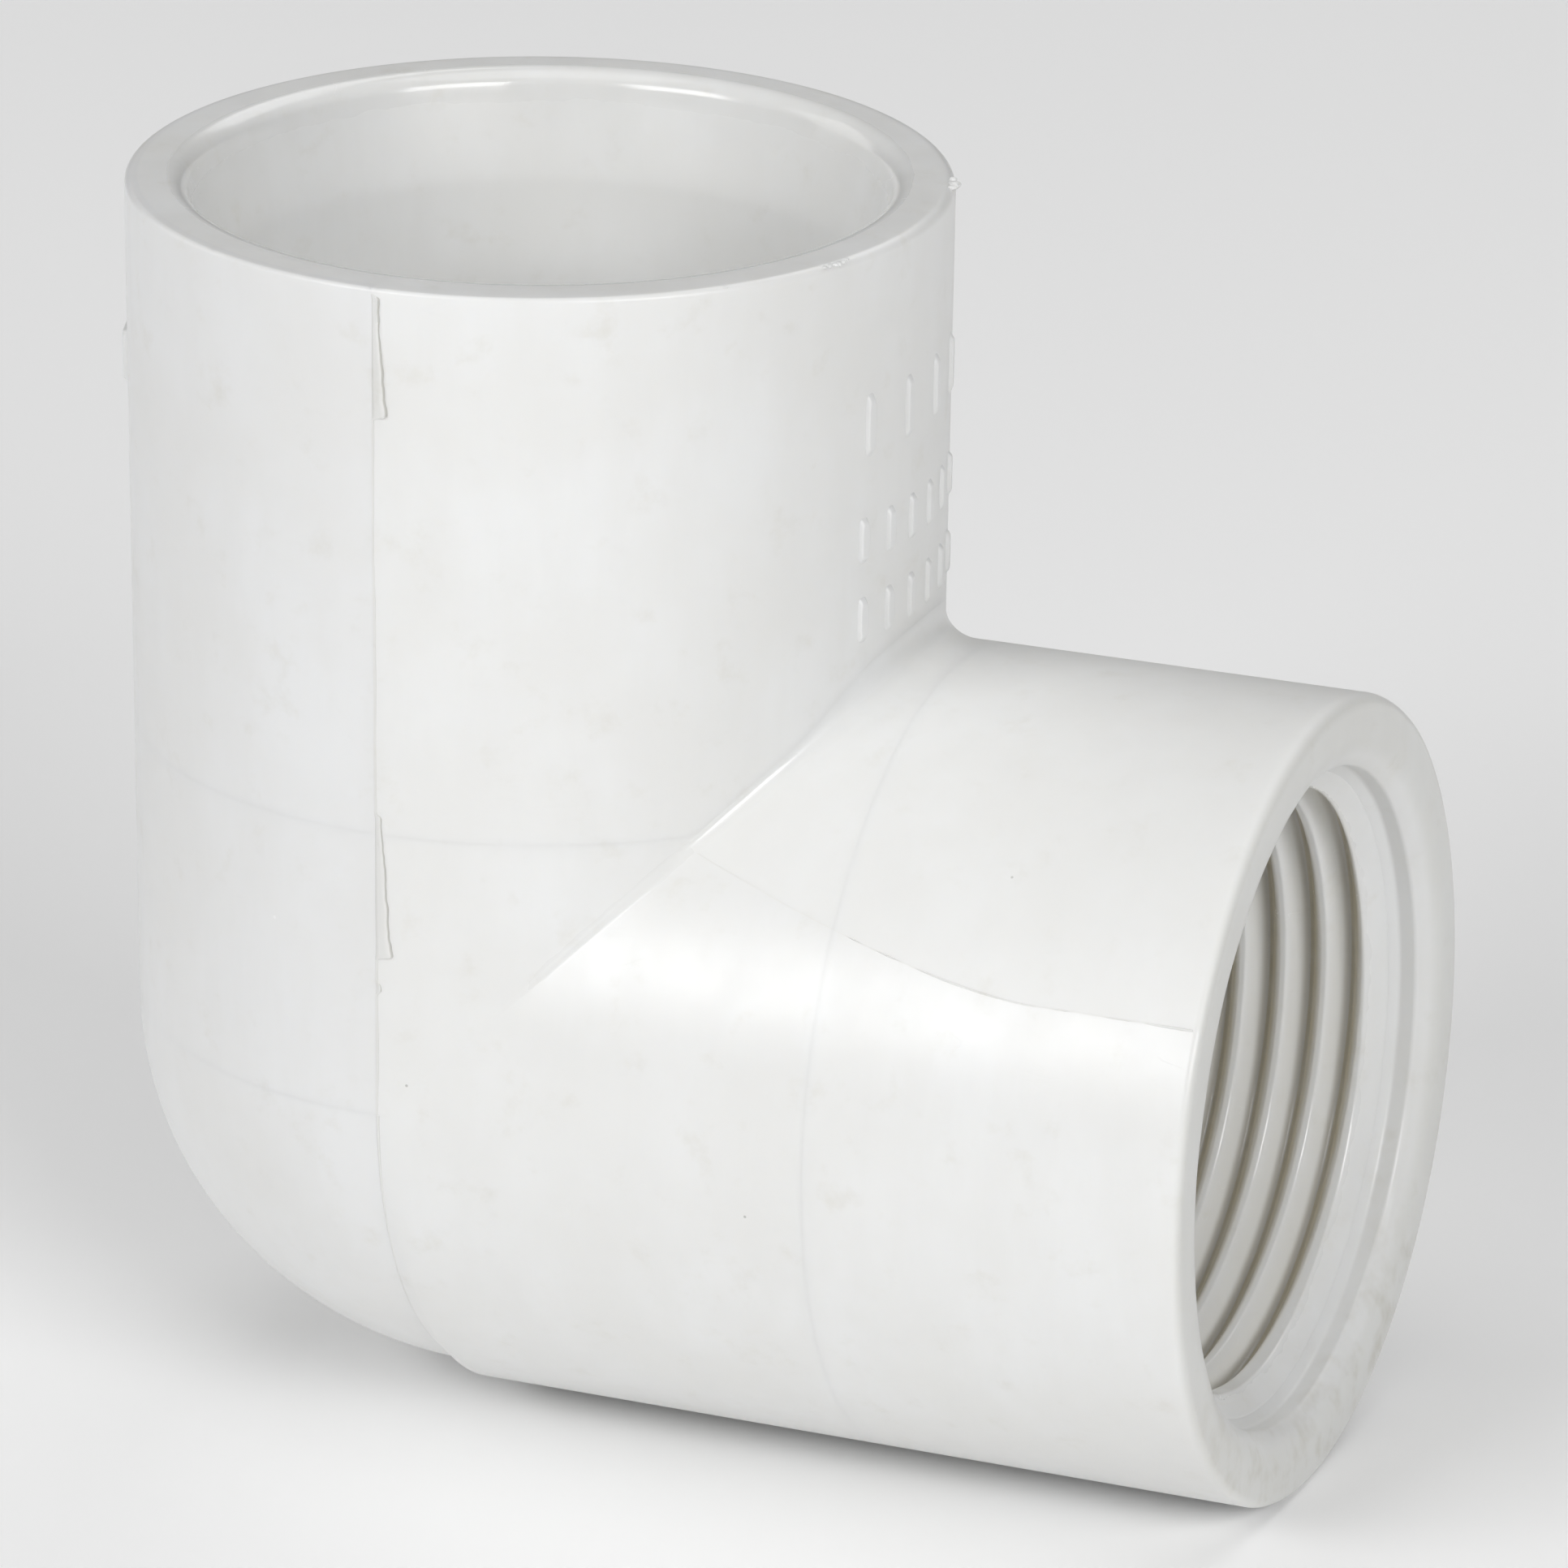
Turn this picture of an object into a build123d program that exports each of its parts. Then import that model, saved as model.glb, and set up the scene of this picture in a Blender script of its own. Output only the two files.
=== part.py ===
"""A 90 degree PVC pipe elbow: a 1 in slip socket pointing up by a 1 in female pipe thread.

The origin is the centre of the pipe stop at the bottom of the slip socket. +Z points out
of the slip socket, and +X points the way the threaded leg does. The moulding is divided
where a person would name its regions: socket tube, corner, heel, threaded tube, thread
ridge and the small mould traces that stand on the skin. Neighbours meet face to face.
"""
import math
import os

from build123d import *

# ---------------------------------------------------------------- driving dimensions, mm
# Heights in sections are measured from the axis of the threaded leg.
SOCKET_MOUTH_HEIGHT = 43.7  # slip socket face above the threaded leg's axis
SOCKET_DEPTH = 28.6  # pipe insertion depth down to the pipe stop
SOCKET_MOUTH_RADIUS = 21.0  # outside of the slip socket at its face
SOCKET_BORE_RADIUS = 16.75  # takes 33.4 mm pipe
SOCKET_LIP_RADIUS = 1.1  # rounded start of the entry funnel
SOCKET_LIP_CENTRE_RADIUS = 18.85  # where the flat of the rim ends
SOCKET_LIP_ARC = 75.0  # degrees of rounding before the funnel goes on
SOCKET_FUNNEL_DEPTH = 5.8  # the funnel has become the straight bore here
ROOT_RADIUS = 20.6  # outside of both legs where their axes cross

HUB_FACE_X = 43.0  # threaded face from the slip socket's axis
HUB_MOUTH_RADIUS = 20.8  # outside of the threaded leg at its face
HUB_JOIN_X = 23.0  # plane where the threaded tube leaves the corner
WATERWAY_RADIUS = 13.3  # bore of both legs behind the pipe stop and the thread

FACE_EDGE_RADIUS = 0.5  # outer edge of both faces
HEEL_DROP = 19.75  # reach of the heel dome below the threaded leg's axis
HEEL_STEP_LENGTH = 0.8  # bevel between the heel dome and the threaded leg
CROTCH_RADIUS = 1.8  # fillet in the valley between the legs
CROTCH_FOOT_HEIGHT = 5.0  # below this the valley is too shallow to need its fillet
OVERRUN = 3.0  # how far cutting tools reach past a face

# 1-11.5 NPT female thread; both radii are taken at the threaded face
THREAD_PITCH = 25.4 / 11.5
THREAD_TAPER = 1 / 32  # radius lost per millimetre of depth
THREAD_ROOT_RADIUS = 16.6
THREAD_CREST_RADIUS = 15.15
THREAD_FLANK = math.radians(30)
THREAD_ROOT_FLAT = 0.16
THREAD_SEAT_GAP = 0.02  # keeps the ridge's base just clear of the root cone
THREAD_TURNS = 5
THREAD_DEEP_X = 27.4  # centre of the ridge at its deep end

MOUTH_RING_RADIUS = 17.0  # counterbore just inside the threaded face
MOUTH_CHAMFER = 0.72  # 45 degrees
MOUTH_RING_DEPTH = 1.84
LAND_RADIUS = 15.6  # the 45 degree lead-in ends on this land, where the thread starts
LAND_START_DEPTH = 3.24
LAND_END_DEPTH = 3.4
RUNOUT_RADIUS = 14.0  # smooth cylinder behind the thread
RUNOUT_LENGTH = 2.7
RUNOUT_SHOULDER = 0.6

# thin flash left along the parting lines
FLASH_WIDTH = 0.16
FLASH_HEIGHT = 0.07
PEEL_HEIGHT = 0.2  # two stretches of the upright line stand up as a ragged peel
PEELS = ((39.9, 2.4), (13.2, 2.5))  # middle height and half length of each, from the rim down
HUB_SEAM_ANGLE = 29.5  # degrees above the side of the leg, at the threaded face
HUB_SEAM_RISE = 15.0  # extra degrees at the valley end
HUB_SEAM_START_X = 15.9
HUB_SEAM_VALLEY_X = 14.4
HUB_SEAM_LEVEL_X = 34.0  # the seam runs straight from here to the face
HUB_SEAM_POINTS = 9

# plain raised bars on the side above the threaded leg, in place of moulded marks
BAR_PROUD = 0.22
BAR_WIDTH = 0.8
BAR_EDGE_RADIUS = 0.09
BAR_ROWS = {  # name: (height above the leg's axis, bar height, number of bars, arc in degrees)
    "raised_bars_upper": (34.6, 3.6, 4, 30.0),
    "raised_bars_middle": (28.6, 2.6, 6, 32.0),
    "raised_bars_lower": (24.4, 2.6, 6, 32.0),
}
PAD_PROUD = 0.32  # small raised pad on the far side of the slip socket
PAD_WIDTH = 3.0
PAD_HEIGHT = 2.9
PAD_CENTRE_HEIGHT = 33.6
PAD_BEARING = 197.0  # degrees from +X
PAD_EDGE_RADIUS = 0.14

# ---------------------------------------------------------------- frame and derived sizes
STOP_HEIGHT = SOCKET_MOUTH_HEIGHT - SOCKET_DEPTH
CROSSING = Vector(0, 0, -STOP_HEIGHT)  # where the two bore axes meet
SECTION = Plane(origin=CROSSING, x_dir=(1, 0, 0), z_dir=(0, -1, 0))  # X right, height up
LEG_SECTION = Plane(origin=CROSSING, x_dir=(0, 1, 0), z_dir=(1, 0, 0))  # Y right, height up
AXIS_LEVEL = Plane(origin=CROSSING, z_dir=(0, 0, 1))
SOCKET_AXIS = Axis(CROSSING, (0, 0, 1))
HUB_AXIS = Axis(CROSSING, (1, 0, 0))


def socket_radius(height):
    """Outside radius of the slip socket leg at a height above the threaded leg's axis."""
    return ROOT_RADIUS + (SOCKET_MOUTH_RADIUS - ROOT_RADIUS) * height / SOCKET_MOUTH_HEIGHT


def hub_radius(x):
    """Outside radius of the threaded leg at a distance from the slip socket's axis."""
    return ROOT_RADIUS + (HUB_MOUTH_RADIUS - ROOT_RADIUS) * x / HUB_FACE_X


def on_thread_cone(radius_at_face, x):
    """Radius at x of a thread cone whose radius is given at the threaded face."""
    return radius_at_face - THREAD_TAPER * (HUB_FACE_X - x)


os.makedirs("parts", exist_ok=True)

# ---------------------------------------------------------------- slip socket tube
edge_height = SOCKET_MOUTH_HEIGHT - FACE_EDGE_RADIUS
lip_height = SOCKET_MOUTH_HEIGHT - SOCKET_LIP_RADIUS
funnel_slope = math.radians(90 - SOCKET_LIP_ARC)  # from the socket's axis
with BuildPart() as slip_socket:
    with BuildSketch(SECTION):
        with BuildLine():
            outside = Polyline(
                (SOCKET_BORE_RADIUS, STOP_HEIGHT),
                (socket_radius(STOP_HEIGHT), STOP_HEIGHT),
                (socket_radius(edge_height), edge_height),
            )
            edge_centre = (socket_radius(edge_height) - FACE_EDGE_RADIUS, edge_height)
            rim_edge = CenterArc(edge_centre, FACE_EDGE_RADIUS, 0, 90)
            Line(rim_edge @ 1, (SOCKET_LIP_CENTRE_RADIUS, SOCKET_MOUTH_HEIGHT))
            lip = CenterArc((SOCKET_LIP_CENTRE_RADIUS, lip_height), SOCKET_LIP_RADIUS, 90, SOCKET_LIP_ARC)
            funnel_start = lip @ 1
            funnel_drop = (funnel_start.X - SOCKET_BORE_RADIUS) / math.tan(funnel_slope)
            funnel = Bezier(
                funnel_start,
                (SOCKET_BORE_RADIUS, funnel_start.Y - funnel_drop),
                (SOCKET_BORE_RADIUS, SOCKET_MOUTH_HEIGHT - SOCKET_FUNNEL_DEPTH),
            )
            Line(funnel @ 1, outside @ 0)
        make_face()
    revolve(axis=SOCKET_AXIS)
slip_socket.part.label = "slip_socket"
export_step(slip_socket.part, "parts/slip_socket.step")

# ---------------------------------------------------------------- shared cutting tools
valley_top = ROOT_RADIUS + CROTCH_RADIUS + OVERRUN
with BuildPart() as socket_envelope:
    with BuildSketch(SECTION):
        Polygon(
            (0, STOP_HEIGHT),
            (socket_radius(STOP_HEIGHT), STOP_HEIGHT),
            (SOCKET_MOUTH_RADIUS, SOCKET_MOUTH_HEIGHT),
            (0, SOCKET_MOUTH_HEIGHT),
            align=None,
        )
    revolve(axis=SOCKET_AXIS)

with BuildPart() as waterway:
    with BuildSketch(AXIS_LEVEL):
        Circle(WATERWAY_RADIUS)
    extrude(amount=STOP_HEIGHT + OVERRUN)
    with BuildSketch(LEG_SECTION):
        Circle(WATERWAY_RADIUS)
    extrude(amount=HUB_JOIN_X + OVERRUN)
    with BuildSketch(SECTION):
        with BuildLine():
            arc = CenterArc((0, 0), WATERWAY_RADIUS, -90, 180)
            Line(arc @ 1, arc @ 0)
        make_face()
    revolve(axis=SOCKET_AXIS)

# ---------------------------------------------------------------- corner between the legs
leg_end_radius = hub_radius(HUB_JOIN_X)
step_radius = hub_radius(HEEL_STEP_LENGTH)
with BuildPart() as upper_legs:
    with BuildSketch(SECTION):
        Polygon(
            (0, 0),
            (ROOT_RADIUS, 0),
            (socket_radius(valley_top), valley_top),
            (0, valley_top),
            align=None,
        )
    revolve(axis=SOCKET_AXIS)
    with BuildSketch(SECTION):
        Polygon((0, 0), (0, ROOT_RADIUS), (HUB_JOIN_X, leg_end_radius), (HUB_JOIN_X, 0), align=None)
    revolve(axis=HUB_AXIS)
    split(bisect_by=AXIS_LEVEL, keep=Keep.TOP)

# the valley is filleted above the crotch's foot only; the legs' roots join on below it
crotch_foot = AXIS_LEVEL.offset(CROTCH_FOOT_HEIGHT)
with BuildPart() as crotch:
    add(upper_legs.part)
    split(bisect_by=crotch_foot, keep=Keep.TOP)
    fillet(crotch.edges().filter_by(GeomType.BSPLINE), radius=CROTCH_RADIUS)
    add(socket_envelope.part, mode=Mode.SUBTRACT)

with BuildPart() as leg_roots:
    add(upper_legs.part)
    split(bisect_by=crotch_foot, keep=Keep.BOTTOM)

with BuildPart() as elbow_corner:
    with BuildSketch(LEG_SECTION):
        Ellipse(ROOT_RADIUS, HEEL_DROP)
    with BuildSketch(LEG_SECTION.offset(HEEL_STEP_LENGTH)):
        Circle(step_radius)
    loft(ruled=True)
    with BuildSketch(SECTION):
        Polygon(
            (HEEL_STEP_LENGTH, 0),
            (HEEL_STEP_LENGTH, step_radius),
            (HUB_JOIN_X, leg_end_radius),
            (HUB_JOIN_X, 0),
            align=None,
        )
    revolve(axis=HUB_AXIS)
    split(bisect_by=AXIS_LEVEL, keep=Keep.BOTTOM)
    add(leg_roots.part)
    add(crotch.part)
    add(waterway.part, mode=Mode.SUBTRACT)
elbow_corner.part.label = "elbow_corner"
export_step(elbow_corner.part, "parts/elbow_corner.step")

# ---------------------------------------------------------------- heel dome
with BuildPart() as elbow_heel:
    with BuildSketch(SECTION):
        with BuildLine():
            EllipticalCenterArc((0, 0), ROOT_RADIUS, HEEL_DROP, start_angle=-90, arc_size=90)
            Polyline((ROOT_RADIUS, 0), (0, 0), (0, -HEEL_DROP))
        make_face()
    revolve(axis=SOCKET_AXIS)
    split(bisect_by=LEG_SECTION, keep=Keep.BOTTOM)
    add(waterway.part, mode=Mode.SUBTRACT)
elbow_heel.part.label = "elbow_heel"
export_step(elbow_heel.part, "parts/elbow_heel.step")

# ---------------------------------------------------------------- threaded tube
ring_x = HUB_FACE_X - MOUTH_RING_DEPTH
land_x = HUB_FACE_X - LAND_START_DEPTH
land_end_x = HUB_FACE_X - LAND_END_DEPTH
runout_x = HUB_JOIN_X + RUNOUT_LENGTH
root_end_x = runout_x + RUNOUT_SHOULDER
edge_x = HUB_FACE_X - FACE_EDGE_RADIUS
mouth_x = HUB_FACE_X - MOUTH_CHAMFER
with BuildPart() as threaded_socket:
    with BuildSketch(SECTION):
        with BuildLine():
            outside = Polyline(
                (HUB_JOIN_X, RUNOUT_RADIUS),
                (HUB_JOIN_X, hub_radius(HUB_JOIN_X)),
                (edge_x, hub_radius(edge_x)),
            )
            edge_centre = (edge_x, hub_radius(edge_x) - FACE_EDGE_RADIUS)
            rim_edge = CenterArc(edge_centre, FACE_EDGE_RADIUS, 90, -90)
            Polyline(
                rim_edge @ 1,
                (HUB_FACE_X, MOUTH_RING_RADIUS + MOUTH_CHAMFER),
                (mouth_x, MOUTH_RING_RADIUS),
                (ring_x, MOUTH_RING_RADIUS),
                (land_x, LAND_RADIUS),
                (land_end_x, LAND_RADIUS),
                (land_end_x, on_thread_cone(THREAD_ROOT_RADIUS, land_end_x)),
                (root_end_x, on_thread_cone(THREAD_ROOT_RADIUS, root_end_x)),
                (runout_x, RUNOUT_RADIUS),
                outside @ 0,
            )
        make_face()
    revolve(axis=HUB_AXIS)
threaded_socket.part.label = "threaded_socket"
export_step(threaded_socket.part, "parts/threaded_socket.step")

# ---------------------------------------------------------------- thread ridge
ridge_line = Helix(
    pitch=THREAD_PITCH,
    height=THREAD_TURNS * THREAD_PITCH,
    radius=on_thread_cone(THREAD_ROOT_RADIUS, THREAD_DEEP_X) - THREAD_SEAT_GAP,
    center=(THREAD_DEEP_X, 0, -STOP_HEIGHT),
    direction=(1, 0, 0),
    cone_angle=math.degrees(math.atan(THREAD_TAPER)),
)
ridge_height = THREAD_ROOT_RADIUS - THREAD_CREST_RADIUS
half_base = (THREAD_PITCH - THREAD_ROOT_FLAT) / 2
half_crest = half_base - ridge_height * math.tan(THREAD_FLANK)
ridge_plane = Plane(origin=ridge_line @ 0, x_dir=(1, 0, 0), z_dir=ridge_line % 0)
down = -1 if ridge_plane.y_dir.Z > 0 else 1  # the ridge starts at the top of the bore
with BuildPart() as pipe_thread:
    with BuildSketch(ridge_plane):
        with BuildLine():
            Polyline(
                (-half_base, down * half_base * THREAD_TAPER),
                (half_base, -down * half_base * THREAD_TAPER),
                (half_crest, down * ridge_height),
                (-half_crest, down * ridge_height),
                close=True,
            )
        make_face()
    sweep(path=Wire([ridge_line]), is_frenet=True)
pipe_thread.part.label = "pipe_thread"
export_step(pipe_thread.part, "parts/pipe_thread.step")

# ---------------------------------------------------------------- flash on the parting lines
peel_points = []
for middle, half_length in PEELS:
    for share, rise in ((1, FLASH_HEIGHT), (0.5, PEEL_HEIGHT), (-0.5, PEEL_HEIGHT), (-1, FLASH_HEIGHT)):
        height = middle + share * half_length
        peel_points.append((socket_radius(height) + rise, height))
with BuildPart() as socket_flash:
    with BuildSketch(LEG_SECTION):
        Polygon(
            (ROOT_RADIUS, 0),
            (socket_radius(edge_height), edge_height),
            (socket_radius(edge_height) + FLASH_HEIGHT, edge_height),
            *peel_points,
            (ROOT_RADIUS + FLASH_HEIGHT, 0),
            align=None,
        )
    extrude(amount=FLASH_WIDTH / 2, both=True)
    mirror(about=SECTION)
socket_flash.part.label = "socket_flash"
export_step(socket_flash.part, "parts/socket_flash.step")

with BuildPart() as heel_flash:
    with BuildSketch(LEG_SECTION):
        Ellipse(ROOT_RADIUS + FLASH_HEIGHT, HEEL_DROP + FLASH_HEIGHT)
        Ellipse(ROOT_RADIUS, HEEL_DROP, mode=Mode.SUBTRACT)
    extrude(amount=-FLASH_WIDTH)
    split(bisect_by=AXIS_LEVEL, keep=Keep.BOTTOM)
heel_flash.part.label = "heel_flash"
export_step(heel_flash.part, "parts/heel_flash.step")

seam_points = []
for index in range(HUB_SEAM_POINTS):
    x = HUB_SEAM_START_X + (edge_x - HUB_SEAM_START_X) * index / (HUB_SEAM_POINTS - 1)
    to_level = max(0, (HUB_SEAM_LEVEL_X - x) / (HUB_SEAM_LEVEL_X - HUB_SEAM_VALLEY_X))
    angle = math.radians(HUB_SEAM_ANGLE + HUB_SEAM_RISE * to_level**1.5)
    radius = hub_radius(x) + FLASH_HEIGHT
    seam_points.append((x, -radius * math.cos(angle), radius * math.sin(angle) - STOP_HEIGHT))
with BuildPart() as hub_flash:
    with BuildLine():
        seam_line = Spline(*seam_points)
    with BuildSketch(Plane(origin=seam_line @ 0, z_dir=seam_line % 0)):
        Circle(FLASH_HEIGHT)
    sweep()
    mirror(about=SECTION)
hub_flash.part.label = "hub_flash"
export_step(hub_flash.part, "parts/hub_flash.step")

# ---------------------------------------------------------------- raised bars and pad
for name, (height, bar_height, count, spread) in BAR_ROWS.items():
    with BuildPart() as bars:
        with BuildSketch(AXIS_LEVEL.offset(height)):
            with PolarLocations(socket_radius(height), count, -spread / 2, spread, endpoint=True):
                Rectangle(BAR_PROUD * 2, BAR_WIDTH)
        extrude(amount=bar_height / 2, both=True)
        fillet(bars.edges(), radius=BAR_EDGE_RADIUS)
        add(socket_envelope.part, mode=Mode.SUBTRACT)
    bars.part.label = name
    export_step(bars.part, f"parts/{name}.step")

pad_plane = Plane(
    origin=(0, 0, PAD_CENTRE_HEIGHT - STOP_HEIGHT),
    x_dir=(math.cos(math.radians(PAD_BEARING)), math.sin(math.radians(PAD_BEARING)), 0),
    z_dir=(0, 0, 1),
)
with BuildPart() as raised_pad:
    with BuildSketch(pad_plane):
        with Locations((socket_radius(PAD_CENTRE_HEIGHT), 0)):
            Rectangle(PAD_PROUD * 2, PAD_WIDTH)
    extrude(amount=PAD_HEIGHT / 2, both=True)
    fillet(raised_pad.edges(), radius=PAD_EDGE_RADIUS)
    add(socket_envelope.part, mode=Mode.SUBTRACT)
raised_pad.part.label = "raised_pad"
export_step(raised_pad.part, "parts/raised_pad.step")
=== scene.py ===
"""Looks of a white PVC pipe elbow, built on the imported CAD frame.

Skins are worked out in millimetres about the point where the two bore axes cross: X runs along
the threaded leg, Z up the slip socket. Each skin is a closed shell that meets its neighbours.
"""

import math

import bmesh
import bpy
import numpy as np
from mathutils import Matrix, Vector


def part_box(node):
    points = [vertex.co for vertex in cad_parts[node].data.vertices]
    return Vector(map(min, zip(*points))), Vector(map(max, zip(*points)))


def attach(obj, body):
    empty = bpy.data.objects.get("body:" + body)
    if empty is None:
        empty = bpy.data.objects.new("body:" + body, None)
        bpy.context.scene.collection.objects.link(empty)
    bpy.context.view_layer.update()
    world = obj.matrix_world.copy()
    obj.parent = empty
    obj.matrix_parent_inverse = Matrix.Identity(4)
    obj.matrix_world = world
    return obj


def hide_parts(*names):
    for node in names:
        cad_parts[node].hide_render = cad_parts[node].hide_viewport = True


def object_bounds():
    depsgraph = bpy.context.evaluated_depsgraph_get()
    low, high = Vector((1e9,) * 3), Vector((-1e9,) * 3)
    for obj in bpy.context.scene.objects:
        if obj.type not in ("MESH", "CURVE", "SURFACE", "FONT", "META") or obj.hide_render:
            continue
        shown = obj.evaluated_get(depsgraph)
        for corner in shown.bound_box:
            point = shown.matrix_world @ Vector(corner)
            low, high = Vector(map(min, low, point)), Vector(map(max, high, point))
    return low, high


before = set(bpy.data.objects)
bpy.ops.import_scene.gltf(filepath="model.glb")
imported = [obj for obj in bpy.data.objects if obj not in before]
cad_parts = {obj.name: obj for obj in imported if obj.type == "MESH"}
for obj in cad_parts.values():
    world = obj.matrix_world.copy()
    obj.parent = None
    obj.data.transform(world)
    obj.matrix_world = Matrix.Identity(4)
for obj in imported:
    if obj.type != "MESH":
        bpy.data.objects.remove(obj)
cad_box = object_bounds()

# ------------------------------------------------------------------ sizes read from the CAD, mm
MM = 0.001
WELD = 2e-7  # metres


def cad_size(node):
    low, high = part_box(node)
    return Vector(low) / MM, Vector(high) / MM


hub_low, hub_high = cad_size("threaded_socket")
socket_low, socket_high = cad_size("slip_socket")
heel_low, heel_high = cad_size("elbow_heel")
AXIS_Z = (hub_low.z + hub_high.z) / 2
STOP = socket_low.z - AXIS_Z
SOCKET_TOP = socket_high.z - AXIS_Z
SOCKET_R = (socket_high.y - socket_low.y) / 2
HUB_X = hub_high.x
HUB_JOIN = hub_low.x
HUB_R = (hub_high.z - hub_low.z) / 2
ROOT_R = (heel_high.y - heel_low.y) / 2
HEEL_DROP = AXIS_Z - heel_low.z

# ------------------------------------------------------------------ the rest of the sizes, mm
SOCKET_BORE = 16.75
LIP_CENTRE_R = 18.85  # the rim's flat ends here and the entry funnel starts
LIP_R = 1.1
LIP_ARC = 75.0
FUNNEL_DEPTH = 5.8
WATERWAY = 13.3
RIM_EDGE_MEAN = 0.52  # the rim's outer edge is rounder on the +Y side
RIM_EDGE_SWING = 0.3
FACE_EDGE = 0.5
FACE_EDGE_TOP = 0.35  # the threaded face is rounder still at its top
HEEL_STEP = 0.8
CROTCH_BLEND = 1.8  # radius in the valley at the crotch
SIDE_BLEND = 0.8  # and on the sides of the elbow
CROTCH_NEAR, CROTCH_FAR = 5.0, 10.5

PITCH = 25.4 / 11.5
TAPER = 1 / 32
CREST_R = 15.45  # thread radii at the threaded face
CREST_SOFT = 0.15  # rounds the fold between the lead-in and the first crest
ROOT_GROOVE_R = 16.75
GROOVE_DEPTH_AT_Y = 4.37  # first full groove on the +Y wall, below the threaded face
RING_R = 17.0
MOUTH_FLAT_R = 19.0  # the face rolls over from here into the 45 degree chamfer
MOUTH_ROLL = 2.5
RING_DEPTH = 1.84
LAND_R = 15.6
LAND_DEPTH = 3.24
LINER_DEPTH = 2.3  # the thread's own piece starts here, part way down the lead-in
LINER_END_X = 26.2
LINER_BACK_R = 17.05
RUNOUT_R = 14.0
RUNOUT_SHOULDER = 0.9
BEHIND_THREAD_R = 14.75
LINER_GAP = 0.02  # between the thread's piece and the wall behind it
GROOVE_FADE = 1.6  # the deep end of the groove runs out over this length

COLUMNS = 720  # around each leg

# the threaded leg's parting line: its angle above +Y, and how it climbs from one X to the other
SEAM_ANGLE, SEAM_RISE = 29.5, 15.0
SEAM_LEVEL_X, SEAM_VALLEY_X = 34.0, 14.4
SEAM_CURVE = 1.5  # the power of its climb

# limits used by the materials: distance from a leg's axis
SKIN = (20.25, 20.4)  # only the outer skin lies further out
LIP_INNER_R = 17.75  # only the bore and its funnel lie further in
SPECK_COLOUR, CHIP_COLOUR = (0.30, 0.30, 0.28), (0.93, 0.93, 0.92)
STAIN_COLOUR, SMUDGE_COLOUR = (0.66, 0.64, 0.57), (0.55, 0.52, 0.44)
# the first colour darkens the thread's groove roots: partly real dirt, partly painted shade of the deep
# recess
GROOVE_DIRT_AND_SHADE_COLOUR, FLASH_SHADE = (0.40, 0.37, 0.31), (0.40, 0.39, 0.35)


def socket_radius(z):
    return ROOT_R + (SOCKET_R - ROOT_R) * z / SOCKET_TOP


def hub_radius(x):
    return ROOT_R + (HUB_R - ROOT_R) * x / HUB_X


def smooth(value, low, high):
    t = np.clip((value - low) / (high - low), 0, 1)
    return t * t * (3 - 2 * t)


def wave_noise(count, seed, octaves=(3, 7, 15, 31)):
    """Smooth repeatable noise in -1..1 along a line of that many stations."""
    source = np.random.default_rng(seed)
    t = np.linspace(0, 1, count)
    total = np.zeros(count)
    for cells in octaves:
        knots = source.uniform(-1, 1, cells + 1)
        total += np.interp(t, np.linspace(0, 1, cells + 1), knots) / math.sqrt(cells)
    return total / np.abs(total).max()


def round_noise(angle, seed, waves):
    """The same for a closed ring, about -1..1."""
    source = np.random.default_rng(seed)
    return sum(np.cos(k * angle + source.uniform(0, 2 * math.pi)) for k in waves) / math.sqrt(len(waves))


# ------------------------------------------------------------------ mesh helpers
class Shell:
    """Collects grids of points and welds them into one closed mesh."""

    def __init__(self):
        self.points, self.quads, self.count = [], [], 0

    def grid(self, rows):
        rows = np.asarray(rows, float)
        m, n = rows.shape[:2]
        start = np.arange(m - 1)[:, None] * n + np.arange(n - 1)[None, :]
        quads = np.stack([start, start + 1, start + n + 1, start + n], -1).reshape(-1, 4)
        self.points.append(rows.reshape(-1, 3))
        self.quads.append(quads + self.count)
        self.count += m * n

    def build(self, name, material, replaces, sharp=32.0):
        points = (np.vstack(self.points) + (0, 0, AXIS_Z)) * MM
        quads = np.vstack(self.quads)
        mesh = bpy.data.meshes.new(name)
        mesh.vertices.add(len(points))
        mesh.vertices.foreach_set("co", points.astype(np.float32).ravel())
        mesh.loops.add(quads.size)
        mesh.loops.foreach_set("vertex_index", quads.astype(np.int32).ravel())
        mesh.polygons.add(len(quads))
        mesh.polygons.foreach_set("loop_start", np.arange(0, quads.size, 4, dtype=np.int32))
        mesh.update(calc_edges=True)
        form = bmesh.new()
        form.from_mesh(mesh)
        bmesh.ops.remove_doubles(form, verts=form.verts, dist=WELD)
        bmesh.ops.dissolve_degenerate(form, edges=form.edges, dist=WELD)
        bmesh.ops.recalc_face_normals(form, faces=form.faces)
        limit = math.radians(sharp)
        for face in form.faces:
            face.smooth = True
        for edge in form.edges:
            if len(edge.link_faces) == 2 and edge.calc_face_angle(0) > limit:
                edge.smooth = False
        form.to_mesh(mesh)
        form.free()
        mesh.materials.append(material)
        thing = bpy.data.objects.new(name, mesh)
        bpy.context.scene.collection.objects.link(thing)
        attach(thing, "root")
        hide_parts(*replaces)
        return thing


def about_z(radius, angle, height):
    radius, angle, height = np.broadcast_arrays(radius, angle, height)
    return np.stack([radius * np.cos(angle), radius * np.sin(angle), height], -1)


def about_x(radius, angle, x):
    """Angle 0 is +Y and a quarter turn is up."""
    radius, angle, x = np.broadcast_arrays(radius, angle, x)
    return np.stack([x, radius * np.cos(angle), radius * np.sin(angle)], -1)


def between(first, last, rows):
    """Straight rows of points from one ring to another."""
    t = np.linspace(0, 1, rows)[:, None, None]
    return first[None] * (1 - t) + last[None] * t


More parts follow.
